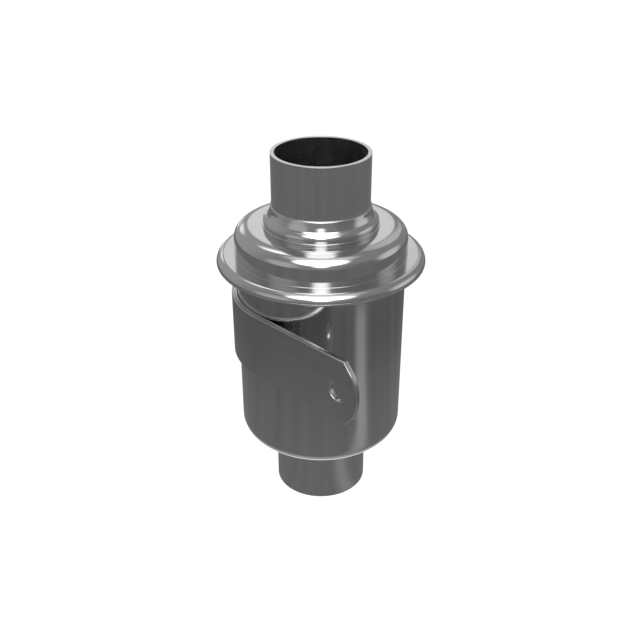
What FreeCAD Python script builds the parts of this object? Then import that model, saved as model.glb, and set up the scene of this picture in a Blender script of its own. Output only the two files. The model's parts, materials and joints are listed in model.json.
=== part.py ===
"""A stainless non-return valve for a flue or exhaust line.

Two spun shells are crimped together at a rolled rim. The crimp holds the seat plate
between two gaskets, and the seat plate carries a cage with a spring-loaded disc that
hangs in the deep lower shell. Flow runs down through the valve and pushes the disc off
its seat. The origin is the centre of the lower tube's open end, and +Z points up.
"""
import FreeCAD, Part
import math
import os
import re
import Sketcher

SIZES = (
    # The two tubes, and the heights that they and the shells reach
    ("tube_od", 50.8),
    ("tube_wall", 2.1),
    ("lower_reach", 37.0),
    ("lower_stub", 11.0),
    ("upper_reach", 38.2),
    ("upper_stub", 3.0),
    ("dome_rise", 14.8),
    ("drum_depth", 102.8),
    # The two shells and the rim that joins them
    ("casing_sheet", 1.0),
    ("drum_od", 88.9),
    ("drum_corner", 8.4),
    ("drum_neck_height", 9.0),
    ("drum_neck_bend", 2.0),
    ("dome_od", 90.0),
    ("dome_corner", 6.7),
    ("flange_bend", 1.2),
    ("rim_od", 109.0),
    ("rim_top_bend", 3.2),
    ("rim_low_bend", 1.8),
    ("hem_width", 6.7),
    ("gasket_thickness", 0.8),
    ("gasket_width", 4.7),
    # The turned ring round the upper tube
    ("ring_height", 10.6),
    ("ring_neck_wall", 0.85),
    ("ring_root_height", 4.8),
    ("ring_root_bend", 3.0),
    ("ring_bead_reach", 3.55),
    ("ring_bead_height", 3.4),
    ("ring_bead_bend", 1.6),
    ("ring_foot_reach", 4.85),
    ("ring_foot_thickness", 1.0),
    ("ring_foot_bend", 0.8),
    ("ring_edge_bend", 0.3),
    # The welds
    ("upper_weld_leg", 0.9),
    ("lower_weld_leg", 2.2),
    ("strap_weld_leg", 2.5),
    ("strap_weld_bend", 2.2),
    ("strap_weld_start", 138.0),
    ("strap_weld_span", 34.0),
    # The seat plate and the pieces that close on it
    ("plate_thickness", 1.2),
    ("port_bore", 47.0),
    ("port_bend", 1.8),
    ("lip_depth", 2.0),
    ("disc_od", 58.0),
    ("disc_sheet", 1.5),
    ("disc_rim_depth", 6.0),
    ("disc_bend", 2.5),
    ("seal_od", 53.0),
    ("seal_thickness", 2.5),
    ("retainer_od", 40.0),
    ("retainer_thickness", 1.5),
    ("washer_od", 14.8),
    ("washer_thickness", 1.6),
    ("washer_split", 1.2),
    ("nut_across_flats", 13.0),
    ("nut_height", 6.5),
    ("thread_od", 8.0),
    ("thread_end", 2.4),
    ("stem_od", 10.0),
    ("stem_tail", 6.0),
    ("collar_od", 14.0),
    ("collar_height", 2.5),
    ("valve_lift", 12.0),
    # The cage, its rivets, the guide bush and the spring with its cup
    ("cage_sheet", 1.5),
    ("cage_depth", 45.1),
    ("cage_leg_radius", 35.5),
    ("cage_leg_width", 12.0),
    ("cage_base_bend", 5.0),
    ("cage_foot_bend", 3.0),
    ("cage_foot_reach", 7.1),
    ("cage_hub_od", 32.0),
    ("cage_legs", 3),
    ("cage_turn", 60.0),
    ("rivet_circle", 79.6),
    ("rivet_od", 3.2),
    ("rivet_head_od", 5.4),
    ("rivet_head_height", 1.2),
    ("bush_od", 15.0),
    ("bush_tail", 2.5),
    ("bush_flange_od", 18.6),
    ("bush_flange_thickness", 2.0),
    ("cup_od", 28.0),
    ("cup_sheet", 1.0),
    ("cup_depth", 4.0),
    ("spring_od", 22.2),
    ("spring_wire", 1.2),
    ("spring_turns", 7.5),
    # The strap that carries the valve
    ("strap_thickness", 3.0),
    ("strap_height", 35.2),
    ("strap_level", 105.3),
    ("strap_turn", -45.0),
    ("strap_wrap", 93.0),
    ("strap_reach", 70.0),
    ("strap_tip_height", 24.0),
    ("strap_tip_radius", 24.8),
    ("strap_corner_back", 8.0),
    ("strap_hole", 10.5),
    ("strap_hole_back", 12.2),
    ("strap_edge_break", 0.3),
    # Clearances
    ("fit_gap", 0.05),
    ("run_gap", 0.04),
    ("seat_gap", 0.05),
    ("stop_gap", 0.3),
    ("edge_break", 0.4),
)

ALIASES = {alias for alias, value in SIZES}

# Heights, worked out from the bottom upwards
FLANGE_LOW = "(lower_reach + drum_depth)"
PLATE_LOW = f"({FLANGE_LOW} + casing_sheet + gasket_thickness)"
PLATE_TOP = f"({PLATE_LOW} + plate_thickness)"
RIM_TOP = f"({PLATE_TOP} + gasket_thickness + casing_sheet)"
SHOULDER = f"({RIM_TOP} + dome_rise)"
RING_TOP = f"({SHOULDER} + ring_height)"
TUBE_TOP = f"({SHOULDER} + upper_reach)"
SEAL_TOP = f"({PLATE_LOW} - lip_depth - seat_gap)"
DISC_TOP = f"({SEAL_TOP} - seal_thickness)"
DISC_LOW = f"({DISC_TOP} - disc_sheet)"
COLLAR_LOW = f"({DISC_LOW} - collar_height)"
RETAINER_TOP = f"({SEAL_TOP} + retainer_thickness)"
WASHER_TOP = f"({RETAINER_TOP} + washer_thickness)"
NUT_TOP = f"({WASHER_TOP} + nut_height)"
CAGE_LOW = f"({PLATE_LOW} - cage_depth)"
CAGE_TOP = f"({CAGE_LOW} + cage_sheet)"
BUSH_LOW = f"({CAGE_LOW} - bush_tail)"
BUSH_TOP = f"({COLLAR_LOW} - valve_lift - stop_gap)"
SPRING_LOW = f"({CAGE_TOP} + fit_gap)"
SPRING_TOP = f"({DISC_LOW} - cup_sheet - fit_gap)"

# Radii that several pieces share
TUBE_R = "(tube_od / 2)"
TUBE_SEAT = "(tube_od / 2 + fit_gap)"
DRUM_R = "(drum_od / 2)"
STRAP_SEAT = "(drum_od / 2 + fit_gap)"
RIM_R = "(rim_od / 2)"
CLAMPED_R = "(rim_od / 2 - rim_top_bend - 2 * fit_gap)"
THREAD_SEAT = "(thread_od / 2 + fit_gap)"

doc = FreeCAD.newDocument("NonReturnValve")
sheet = doc.addObject("Spreadsheet::Sheet", "Sizes")
for row, (alias, value) in enumerate(SIZES, start=1):
    sheet.set(f"A{row}", alias)
    sheet.set(f"B{row}", str(value))
    sheet.setAlias(f"B{row}", alias)
doc.recompute()


def on_sheet(formula):
    """A formula of size names, as an expression that any object can hold."""
    def named(word):
        return "Sizes." + word.group() if word.group() in ALIASES else word.group()
    return re.sub(r"[a-z_]+", named, formula)


def size(formula):
    """The present value of a formula, in millimetres or degrees."""
    return float(sheet.evalExpression(on_sheet(formula)))


def bind(feature, prop, formula):
    """Ties a property to the sheet."""
    feature.setExpression(prop, on_sheet(formula))


def bind_held(sketch, constraint, formula):
    """Adds a constraint whose value is tied to the sheet."""
    bind(sketch, f"Constraints[{sketch.addConstraint(constraint)}]", formula)


def new_body(label):
    """A body named after its piece."""
    body = doc.addObject("PartDesign::Body", label.title().replace("_", ""))
    body.Label = label
    return body


def turn_body(body, turn):
    """Turns a body about the Z axis."""
    body.Placement.Rotation = FreeCAD.Rotation(FreeCAD.Vector(0, 0, 1), size(turn))
    bind(body, "Placement.Rotation.Angle", f"{turn} * 1 deg")


def origin_item(body, role):
    """One of the planes or axes of the body's own origin."""
    return next(item for item in body.Origin.OriginFeatures if item.Role == role)


def new_sketch(body, role, height="0"):
    """A sketch on one of the body's own origin planes, raised by a height."""
    sketch = body.newObject("Sketcher::SketchObject", body.Name + "Sketch")
    sketch.AttachmentSupport = [(origin_item(body, role), "")]
    sketch.MapMode = "FlatFace"
    bind(sketch, "AttachmentOffset.Base.z", height)
    return sketch


def hold_point(sketch, geometry, end, across, up):
    """Holds a point of the sketch at two formulas, measured from its origin."""
    for kind, axis, formula in (("DistanceX", -2, across), ("DistanceY", -1, up)):
        value = size(formula)
        if abs(value) < 1e-7:
            sketch.addConstraint(Sketcher.Constraint("PointOnObject", geometry, end, axis))
        elif value > 0:
            bind_held(sketch, Sketcher.Constraint(kind, -1, 1, geometry, end, value), formula)
        else:
            held = Sketcher.Constraint(kind, geometry, end, -1, 1, -value)
            bind_held(sketch, held, f"-({formula})")


def draw_outline(sketch, corners):
    """Draws a closed outline through corners, each given as across, up and bend."""
    points = [FreeCAD.Vector(size(across), size(up), 0) for across, up, bend in corners]
    entries = []
    exits = []
    for index, (point, corner) in enumerate(zip(points, corners)):
        arriving = (point - points[index - 1]).normalize()
        leaving = (points[(index + 1) % len(points)] - point).normalize()
        setback = size(corner[2]) * math.tan(arriving.getAngle(leaving) / 2)
        entries.append(point - arriving * setback)
        exits.append(point + leaving * setback)
    sides = []
    for start, finish in zip(exits, entries[1:] + entries[:1]):
        sides.append(sketch.addGeometry(Part.LineSegment(start, finish), False))
    for index, (across, up, bend) in enumerate(corners):
        before = sides[index - 1]
        after = sides[index]
        if size(bend) == 0:
            sketch.addConstraint(Sketcher.Constraint("Coincident", before, 2, after, 1))
            hold_point(sketch, after, 1, across, up)
        else:
            meeting = round_corner(sketch, points[index], entries[index], exits[index], bend, before, after)
            hold_point(sketch, meeting, 1, across, up)


def round_corner(sketch, point, entry, leave, bend, before, after):
    """Joins two sides with a tangent arc, and marks the corner that it rounds off."""
    radius = size(bend)
    arriving = (point - entry).normalize()
    leftward = FreeCAD.Vector(-arriving.y, arriving.x, 0)
    turns_left = leftward.dot(leave - point) > 0
    centre = entry + leftward * (radius if turns_left else -radius)
    first, second = (entry, leave) if turns_left else (leave, entry)
    near, far = (1, 2) if turns_left else (2, 1)
    angles = [math.atan2(end.y - centre.y, end.x - centre.x) for end in (first, second)]
    circle = Part.Circle(centre, FreeCAD.Vector(0, 0, 1), radius)
    arc = sketch.addGeometry(Part.ArcOfCircle(circle, *angles), False)
    meeting = sketch.addGeometry(Part.Point(point), True)
    sketch.addConstraint([
        Sketcher.Constraint("Tangent", before, 2, arc, near),
        Sketcher.Constraint("Tangent", arc, far, after, 1),
        Sketcher.Constraint("PointOnObject", meeting, 1, before),
        Sketcher.Constraint("PointOnObject", meeting, 1, after),
    ])
    bind_held(sketch, Sketcher.Constraint("Radius", arc, radius), bend)
    return meeting


def draw_circle(sketch, across, up, radius):
    """Draws a circle round a point given as two formulas."""
    centre = FreeCAD.Vector(size(across), size(up), 0)
    circle = sketch.addGeometry(Part.Circle(centre, FreeCAD.Vector(0, 0, 1), size(radius)), False)
    bind_held(sketch, Sketcher.Constraint("Radius", circle, size(radius)), radius)
    hold_point(sketch, circle, 3, across, up)


def add_feature(body, kind, sketch):
    """Adds a feature of one kind, made from a sketch."""
    feature = body.newObject("PartDesign::" + kind, body.Name + kind)
    feature.Profile = sketch
    return feature


def turn_round(body, kind, sketch, axis="V_Axis", angle="360"):
    """Turns a sketch about an axis that it holds, to add or to take away."""
    turned = add_feature(body, kind, sketch)
    turned.ReferenceAxis = (sketch, [axis])
    bind(turned, "Angle", angle)
    return turned


def turned_piece(label, corners):
    """A piece that is one outline of radii and heights, turned about the Z axis."""
    body = new_body(label)
    profile = new_sketch(body, "XZ_Plane")
    draw_outline(profile, corners)
    turn_round(body, "Revolution", profile)
    return body


def raise_pad(body, sketch, length, side="One side"):
    """Raises a sketch into a solid."""
    raised = add_feature(body, "Pad", sketch)
    raised.SideType = side
    bind(raised, "Length", length)
    return raised


def cut_through(body, sketch):
    """Cuts a sketch through the whole body, both ways from its plane."""
    cut = add_feature(body, "Pocket", sketch)
    cut.Type = "ThroughAll"
    cut.SideType = "Symmetric"
    return cut


def cut_beyond(body, sketch, length, upwards):
    """Cuts away what lies beyond a sketch's plane."""
    cut = add_feature(body, "Pocket", sketch)
    cut.Reversed = upwards
    bind(cut, "Length", length)


def repeat_round(body, feature, count):
    """Repeats a feature evenly about the body's Z axis."""
    pattern = body.newObject("PartDesign::PolarPattern", body.Name + "Pattern")
    pattern.Originals = [feature]
    pattern.Axis = (origin_item(body, "Z_Axis"), [""])
    pattern.Angle = 360
    bind(pattern, "Occurrences", count)
    body.Tip = pattern


def drill_rivet_holes(body):
    """Drills the ring of holes for the cage's rivets."""
    hole = new_sketch(body, "XY_Plane")
    draw_circle(hole, "rivet_circle / 2", "0", "rivet_od / 2 + fit_gap")
    repeat_round(body, cut_through(body, hole), "cage_legs")


def make_tube(label, low, top):
    """A plain length of tube."""
    bore = f"({TUBE_R} - tube_wall)"
    turned_piece(label, (
        (bore, low, "0"),
        (TUBE_R, low, "0"),
        (TUBE_R, top, "0"),
        (bore, top, "0"),
    ))


def make_neck_ring():
    """The turned ring: a thin neck, a flowing root with a soft bead, and a thin foot."""
    neck = f"({TUBE_SEAT} + ring_neck_wall)"
    bead = f"({TUBE_SEAT} + ring_bead_reach)"
    foot = f"({TUBE_SEAT} + ring_foot_reach)"
    foot_top = f"({SHOULDER} + ring_foot_thickness)"
    turned_piece("neck_ring", (
        (TUBE_SEAT, SHOULDER, "0"),
        (foot, SHOULDER, "0"),
        (foot, foot_top, "ring_edge_bend"),
        (bead, foot_top, "ring_foot_bend"),
        (bead, f"{SHOULDER} + ring_bead_height", "ring_bead_bend"),
        (neck, f"{SHOULDER} + ring_root_height", "ring_root_bend"),
        (neck, RING_TOP, "0"),
        (TUBE_SEAT, RING_TOP, "0"),
    ))


def make_tube_weld(label, level, outward, upward):
    """A fillet weld round a tube, on one side of a level."""
    turned_piece(label, (
        (TUBE_SEAT, level, "0"),
        (f"{TUBE_SEAT} + {outward}", level, "0"),
        (TUBE_SEAT, f"{level} + {upward}", "0"),
    ))


def make_upper_shell():
    """The dome: a flat shoulder, a short wall, and a flange hemmed round the stack."""
    inner_wall = "(dome_od / 2 - casing_sheet)"
    inner_rim = f"({RIM_R} - casing_sheet)"
    inner_top = f"({RIM_TOP} - casing_sheet)"
    hem_low = f"({FLANGE_LOW} - casing_sheet)"
    hem_end = f"({RIM_R} - hem_width)"
    turned_piece("upper_shell", (
        (TUBE_SEAT, SHOULDER, "0"),
        ("dome_od / 2", SHOULDER, "dome_corner"),
        ("dome_od / 2", RIM_TOP, "flange_bend"),
        (RIM_R, RIM_TOP, "rim_top_bend"),
        (RIM_R, hem_low, "rim_low_bend"),
        (hem_end, hem_low, "0"),
        (hem_end, FLANGE_LOW, "0"),
        (inner_rim, FLANGE_LOW, "rim_low_bend - casing_sheet"),
        (inner_rim, inner_top, "rim_top_bend - casing_sheet"),
        (inner_wall, inner_top, "flange_bend + casing_sheet"),
        (inner_wall, f"{SHOULDER} - casing_sheet", "dome_corner - casing_sheet"),
        (TUBE_SEAT, f"{SHOULDER} - casing_sheet", "0"),
    ))


def make_lower_shell():
    """The deep drum, with its neck drawn inwards round the lower tube."""
    inner_wall = f"({DRUM_R} - casing_sheet)"
    neck_outside = f"({TUBE_SEAT} + casing_sheet)"
    neck_top = "(lower_reach + drum_neck_height)"
    inner_floor = "(lower_reach + casing_sheet)"
    flange_top = f"({FLANGE_LOW} + casing_sheet)"
    turned_piece("lower_shell", (
        (CLAMPED_R, flange_top, "0"),
        (CLAMPED_R, FLANGE_LOW, "0"),
        (DRUM_R, FLANGE_LOW, "flange_bend"),
        (DRUM_R, "lower_reach", "drum_corner"),
        (TUBE_SEAT, "lower_reach", "drum_neck_bend"),
        (TUBE_SEAT, neck_top, "0"),
        (neck_outside, neck_top, "0"),
        (neck_outside, inner_floor, "drum_neck_bend - casing_sheet"),
        (inner_wall, inner_floor, "drum_corner - casing_sheet"),
        (inner_wall, flange_top, "flange_bend + casing_sheet"),
    ))


def make_seam_gasket(label, low):
    """A flat ring of sheet gasket, clamped in the rim."""
    top = f"({low} + gasket_thickness)"
    bore = f"({CLAMPED_R} - gasket_width)"
    turned_piece(label, (
        (bore, low, "0"),
        (CLAMPED_R, low, "0"),
        (CLAMPED_R, top, "0"),
        (bore, top, "0"),
    ))


def make_seat_plate():
    """The plate clamped in the rim, with its port turned down into a seat lip."""
    port = "(port_bore / 2)"
    lip = f"({port} + plate_thickness)"
    lip_end = f"({PLATE_LOW} - lip_depth)"
    body = turned_piece("seat_plate", (
        (CLAMPED_R, PLATE_TOP, "0"),
        (CLAMPED_R, PLATE_LOW, "0"),
        (lip, PLATE_LOW, "port_bend - plate_thickness"),
        (lip, lip_end, "0"),
        (port, lip_end, "0"),
        (port, PLATE_TOP, "port_bend"),
    ))
    turn_body(body, "cage_turn")
    drill_rivet_holes(body)


def make_valve_cage():
    """The pressed cage: a hub, and strip legs that end in outward feet."""
    inner = "(cage_leg_radius - cage_sheet)"
    foot_end = "(cage_leg_radius + cage_foot_reach)"
    foot_low = f"({PLATE_LOW} - cage_sheet)"
    body = new_body("valve_cage")
    turn_body(body, "cage_turn")
    strip = new_sketch(body, "XZ_Plane")
    draw_outline(strip, (
        ("0", CAGE_LOW, "0"),
        ("cage_leg_radius", CAGE_LOW, "cage_base_bend"),
        ("cage_leg_radius", foot_low, "cage_foot_bend - cage_sheet"),
        (foot_end, foot_low, "0"),
        (foot_end, PLATE_LOW, "0"),
        (inner, PLATE_LOW, "cage_foot_bend"),
        (inner, CAGE_TOP, "cage_base_bend - cage_sheet"),
        ("0", CAGE_TOP, "0"),
    ))
    leg = raise_pad(body, strip, "cage_leg_width", "Symmetric")
    repeat_round(body, leg, "cage_legs")
    hub = new_sketch(body, "XY_Plane", CAGE_LOW)
    draw_circle(hub, "0", "0", "cage_hub_od / 2")
    raise_pad(body, hub, "cage_sheet")
    bore = new_sketch(body, "XY_Plane")
    draw_circle(bore, "0", "0", "bush_od / 2 + fit_gap")
    cut_through(body, bore)
    drill_rivet_holes(body)


def make_cage_rivets():
    """The rivets through the cage's feet, each with a domed head at both ends."""
    centre = "(rivet_circle / 2)"
    head = f"({centre} + rivet_head_od / 2)"
    shank = f"({centre} + rivet_od / 2)"
    foot_low = f"({PLATE_LOW} - cage_sheet)"
    low = f"({foot_low} - rivet_head_height)"
    top = f"({PLATE_TOP} + rivet_head_height)"
    body = new_body("cage_rivets")
    turn_body(body, "cage_turn")
    body.AllowCompound = True
    profile = new_sketch(body, "XZ_Plane")
    draw_outline(profile, (
        (centre, low, "0"),
        (head, low, "rivet_head_height * 0.9"),
        (head, foot_low, "0"),
        (shank, foot_low, "0"),
        (shank, PLATE_TOP, "0"),
        (head, PLATE_TOP, "0"),
        (head, top, "rivet_head_height * 0.9"),
        (centre, top, "0"),
    ))
    middle = FreeCAD.Vector(size(centre), size(low), 0)
    above = FreeCAD.Vector(size(centre), size(top), 0)
    axis = profile.addGeometry(Part.LineSegment(middle, above), True)
    hold_point(profile, axis, 1, centre, low)
    hold_point(profile, axis, 2, centre, top)
    rivet = turn_round(body, "Revolution", profile, "Axis0")
    repeat_round(body, rivet, "cage_legs")


def make_guide_bush():
    """The bush in the hub: it guides the stem, and its end stops the collar."""
    bore = "(stem_od / 2 + run_gap)"
    flange_top = f"({CAGE_TOP} + bush_flange_thickness)"
    turned_piece("guide_bush", (
        (bore, BUSH_LOW, "0"),
        ("bush_od / 2", BUSH_LOW, "edge_break"),
        ("bush_od / 2", CAGE_TOP, "0"),
        ("bush_flange_od / 2", CAGE_TOP, "0"),
        ("bush_flange_od / 2", flange_top, "edge_break"),
        ("bush_od / 2", flange_top, "0"),
        ("bush_od / 2", BUSH_TOP, "edge_break"),
        (bore, BUSH_TOP, "0"),
    ))


def make_return_spring():
    """The closing spring: a helix of round wire with both ends ground flat."""
    coil = "((spring_od - spring_wire) / 2)"
    length = f"({SPRING_TOP} - {SPRING_LOW})"
    body = new_body("return_spring")
    wire = new_sketch(body, "XZ_Plane")
    draw_circle(wire, coil, SPRING_LOW, "spring_wire / 2")
    helix = add_feature(body, "AdditiveHelix", wire)
    helix.ReferenceAxis = (wire, ["V_Axis"])
    helix.Mode = "height-turns-angle"
    bind(helix, "Height", length)
    bind(helix, "Turns", "spring_turns")
    for level, upwards in ((SPRING_LOW, False), (SPRING_TOP, True)):
        ground = new_sketch(body, "XY_Plane", level)
        draw_circle(ground, "0", "0", f"{coil} + spring_wire")
        cut_beyond(body, ground, "spring_wire", upwards)


def make_valve_stem():
    """The stem: a long guided shank, a collar under the disc, and a threaded end."""
    low = f"({BUSH_LOW} - stem_tail)"
    top = f"({NUT_TOP} + thread_end)"
    turned_piece("valve_stem", (
        ("0", low, "0"),
        ("stem_od / 2", low, "edge_break"),
        ("stem_od / 2", COLLAR_LOW, "0"),
        ("collar_od / 2", COLLAR_LOW, "0"),
        ("collar_od / 2", DISC_LOW, "0"),
        ("thread_od / 2", DISC_LOW, "0"),
        ("thread_od / 2", top, "edge_break"),
        ("0", top, "0"),
    ))


def make_spring_cup():
    """The pressed cup that centres the spring under the disc."""
    bore = "(collar_od / 2 + fit_gap)"
    inner = "(cup_od / 2 - cup_sheet)"
    flat = f"({DISC_LOW} - cup_sheet)"
    lip = f"({DISC_LOW} - cup_depth)"
    turned_piece("spring_cup", (
        (bore, DISC_LOW, "0"),
        (bore, flat, "0"),
        (inner, flat, "cup_sheet * 0.5"),
        (inner, lip, "0"),
        ("cup_od / 2", lip, "0"),
        ("cup_od / 2", DISC_LOW, "cup_sheet * 1.5"),
    ))


def make_valve_disc():
    """The pressed disc, with its edge turned down to stiffen it."""
    inner = "(disc_od / 2 - disc_sheet)"
    edge = f"({DISC_TOP} - disc_rim_depth)"
    turned_piece("valve_disc", (
        (THREAD_SEAT, DISC_TOP, "0"),
        (THREAD_SEAT, DISC_LOW, "0"),
        (inner, DISC_LOW, "disc_bend - disc_sheet"),
        (inner, edge, "0"),
        ("disc_od / 2", edge, "0"),
        ("disc_od / 2", DISC_TOP, "disc_bend"),
    ))


def make_clamped_ring(label, radius, low, top, bend="0"):
    """A flat ring on the stem, between the disc and the nut."""
    return turned_piece(label, (
        (THREAD_SEAT, low, "0"),
        (radius, low, "0"),
        (radius, top, bend),
        (THREAD_SEAT, top, "0"),
    ))


def make_lock_washer():
    """The split spring washer under the nut."""
    half_split = "(washer_split / 2)"
    body = make_clamped_ring("lock_washer", "washer_od / 2", RETAINER_TOP, WASHER_TOP)
    split = new_sketch(body, "XY_Plane")
    draw_outline(split, (
        ("0", f"-{half_split}", "0"),
        ("washer_od", f"-{half_split}", "0"),
        ("washer_od", half_split, "0"),
        ("0", half_split, "0"),
    ))
    cut_through(body, split)


def make_stem_nut():
    """The hexagon nut, with its corners turned off at both faces."""
    corner = "(nut_across_flats / sqrt(3))"
    half_side = "(nut_across_flats / sqrt(3) / 2)"
    flat = "(nut_across_flats / 2)"
    outside = f"(2 * {corner} - {flat})"
    fall = f"(1.2 * ({corner} - {flat}))"
    body = new_body("stem_nut")
    hexagon = new_sketch(body, "XY_Plane", WASHER_TOP)
    draw_outline(hexagon, (
        (corner, "0", "0"),
        (half_side, flat, "0"),
        (f"-{half_side}", flat, "0"),
        (f"-{corner}", "0", "0"),
        (f"-{half_side}", f"-{flat}", "0"),
        (half_side, f"-{flat}", "0"),
    ))
    raise_pad(body, hexagon, "nut_height")
    bore = new_sketch(body, "XY_Plane")
    draw_circle(bore, "0", "0", THREAD_SEAT)
    cut_through(body, bore)
    for face, inward in ((WASHER_TOP, "+"), (NUT_TOP, "-")):
        shaving = new_sketch(body, "XZ_Plane")
        draw_outline(shaving, (
            (flat, face, "0"),
            (outside, face, "0"),
            (outside, f"{face} {inward} {fall}", "0"),
        ))
        turn_round(body, "Groove", shaving)


def draw_strap_plan(plan, spare):
    """The strap seen from above: its wrap round the drum, then its straight leg."""
    outer = f"({STRAP_SEAT} + strap_thickness)"
    end_angle = math.radians(270)
    start_angle = end_angle - math.radians(size("strap_wrap"))
    reach = f"(strap_reach + {spare})"
    wraps = []
    legs = []
    for radius in (outer, STRAP_SEAT):
        length = size(radius)
        circle = Part.Circle(FreeCAD.Vector(0, 0, 0), FreeCAD.Vector(0, 0, 1), length)
        wrap = plan.addGeometry(Part.ArcOfCircle(circle, start_angle, end_angle), False)
        bend_end = FreeCAD.Vector(0, -length, 0)
        leg_end = FreeCAD.Vector(size(reach), -length, 0)
        leg = plan.addGeometry(Part.LineSegment(bend_end, leg_end), False)
        plan.addConstraint([
            Sketcher.Constraint("Coincident", wrap, 3, -1, 1),
            Sketcher.Constraint("Tangent", wrap, 2, leg, 1),
            Sketcher.Constraint("Horizontal", leg),
        ])
        bind_held(plan, Sketcher.Constraint("Radius", wrap, length), radius)
        bind_held(plan, Sketcher.Constraint("DistanceX", -1, 1, leg, 2, size(reach)), reach)
        bind_held(plan, Sketcher.Constraint("Angle", wrap, end_angle - start_angle), "strap_wrap")
        wraps.append((wrap, 1, circle.value(start_angle)))
        legs.append((leg, 2, leg_end))
    for first, second in (wraps, legs):
        closing = plan.addGeometry(Part.LineSegment(first[2], second[2]), False)
        plan.addConstraint([
            Sketcher.Constraint("Coincident", closing, 1, first[0], first[1]),
            Sketcher.Constraint("Coincident", closing, 2, second[0], second[1]),
        ])


def draw_strap_tip(tip, spare):
    """What is cut off the strap's end: beyond its cut corners and its shallow nose."""
    corner = "(strap_reach - strap_corner_back)"
    beyond = f"(strap_reach + 2 * {spare})"
    edge = "(strap_height / 2)"
    above = f"({edge} + {spare})"
    nose_centre = "(strap_reach - strap_tip_radius)"
    half_tip = size("strap_tip_height / 2")
    radius = size("strap_tip_radius")
    lean = math.asin(half_tip / radius)
    circle = Part.Circle(FreeCAD.Vector(size(nose_centre), 0, 0), FreeCAD.Vector(0, 0, 1), radius)
    nose = tip.addGeometry(Part.ArcOfCircle(circle, -lean, lean), False)
    hold_point(tip, nose, 3, nose_centre, "0")
    bind_held(tip, Sketcher.Constraint("Radius", nose, radius), "strap_tip_radius")
    bind_held(tip, Sketcher.Constraint("DistanceY", -1, 1, nose, 2, half_tip), "strap_tip_height / 2")
    bind_held(tip, Sketcher.Constraint("DistanceY", nose, 1, -1, 1, half_tip), "strap_tip_height / 2")
    route = (
        (corner, edge),
        (corner, above),
        (beyond, above),
        (beyond, f"-{above}"),
        (corner, f"-{above}"),
        (corner, f"-{edge}"),
    )
    points = [FreeCAD.Vector(size(across), size(up), 0) for across, up in route]
    ends = [circle.value(lean)] + points + [circle.value(-lean)]
    sides = [tip.addGeometry(Part.LineSegment(*pair), False) for pair in zip(ends, ends[1:])]
    tip.addConstraint(Sketcher.Constraint("Coincident", nose, 2, sides[0], 1))
    tip.addConstraint(Sketcher.Constraint("Coincident", nose, 1, sides[-1], 2))
    for before, after, (across, up) in zip(sides, sides[1:], route):
        tip.addConstraint(Sketcher.Constraint("Coincident", before, 2, after, 1))
        hold_point(tip, after, 1, across, up)


def sharp_edges(shape):
    """The names of the edges where two faces meet at a real corner."""
    names = []
    for number, edge in enumerate(shape.Edges, start=1):
        middle = edge.valueAt((edge.FirstParameter + edge.LastParameter) / 2)
        faces = shape.ancestorsOfType(edge, Part.Face)
        normals = [face.normalAt(*face.Surface.parameter(middle)) for face in faces]
        if len(normals) == 2 and normals[0].getAngle(normals[1]) > math.radians(20):
            names.append(f"Edge{number}")
    return names


def make_mounting_strap():
    """The strap: wrapped round the drum, then straight out to a drilled, rounded end."""
    spare = "2.0"
    body = new_body("mounting_strap")
    turn_body(body, "strap_turn")
    plan = new_sketch(body, "XY_Plane", "strap_level")
    draw_strap_plan(plan, spare)
    raise_pad(body, plan, "strap_height", "Symmetric")
    tip = new_sketch(body, "XZ_Plane")
    bind(tip, "AttachmentOffset.Base.y", "strap_level")
    draw_strap_tip(tip, spare)
    cut_through(body, tip)
    hole = new_sketch(body, "XZ_Plane")
    draw_circle(hole, "strap_reach - strap_hole_back", "strap_level", "strap_hole / 2")
    drilled = cut_through(body, hole)
    doc.recompute()
    broken = body.newObject("PartDesign::Chamfer", "StrapEdges")
    broken.Base = (drilled, sharp_edges(drilled.Shape))
    bind(broken, "Size", "strap_edge_break")


def make_strap_welds():
    """The beads that join the strap's upper and lower edges to the drum."""
    toe = f"({STRAP_SEAT} + strap_weld_leg)"
    top = "(strap_level + strap_height / 2)"
    low = "(strap_level - strap_height / 2)"
    body = new_body("strap_welds")
    turn_body(body, "strap_weld_start")
    body.AllowCompound = True
    beads = new_sketch(body, "XZ_Plane")
    for edge, sign in ((top, "+"), (low, "-")):
        away = f"({edge} {sign} strap_weld_leg)"
        draw_outline(beads, (
            (STRAP_SEAT, edge, "0"),
            (toe, edge, "0"),
            (toe, away, "strap_weld_bend"),
            (STRAP_SEAT, away, "0"),
        ))
    turn_round(body, "Revolution", beads, angle="strap_weld_span")


def make_all():
    """Makes every piece, from the top of the casing to the stem's nut."""
    make_tube("upper_tube", f"({SHOULDER} - casing_sheet - upper_stub)", TUBE_TOP)
    make_neck_ring()
    make_tube_weld("upper_tube_weld", RING_TOP, "upper_weld_leg", "upper_weld_leg")
    make_upper_shell()
    make_seam_gasket("upper_seam_gasket", PLATE_TOP)
    make_seat_plate()
    make_seam_gasket("lower_seam_gasket", f"({FLANGE_LOW} + casing_sheet)")
    make_lower_shell()
    make_tube("lower_tube", "0", "(lower_reach + lower_stub)")
    make_tube_weld("lower_tube_weld", "(lower_reach - fit_gap)", "lower_weld_leg", "-lower_weld_leg")
    make_mounting_strap()
    make_strap_welds()
    make_valve_cage()
    make_cage_rivets()
    make_guide_bush()
    make_return_spring()
    make_valve_stem()
    make_spring_cup()
    make_valve_disc()
    make_clamped_ring("disc_seal", "seal_od / 2", DISC_TOP, SEAL_TOP, "edge_break")
    make_clamped_ring("seal_retainer", "retainer_od / 2", SEAL_TOP, RETAINER_TOP, "edge_break")
    make_lock_washer()
    make_stem_nut()


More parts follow.
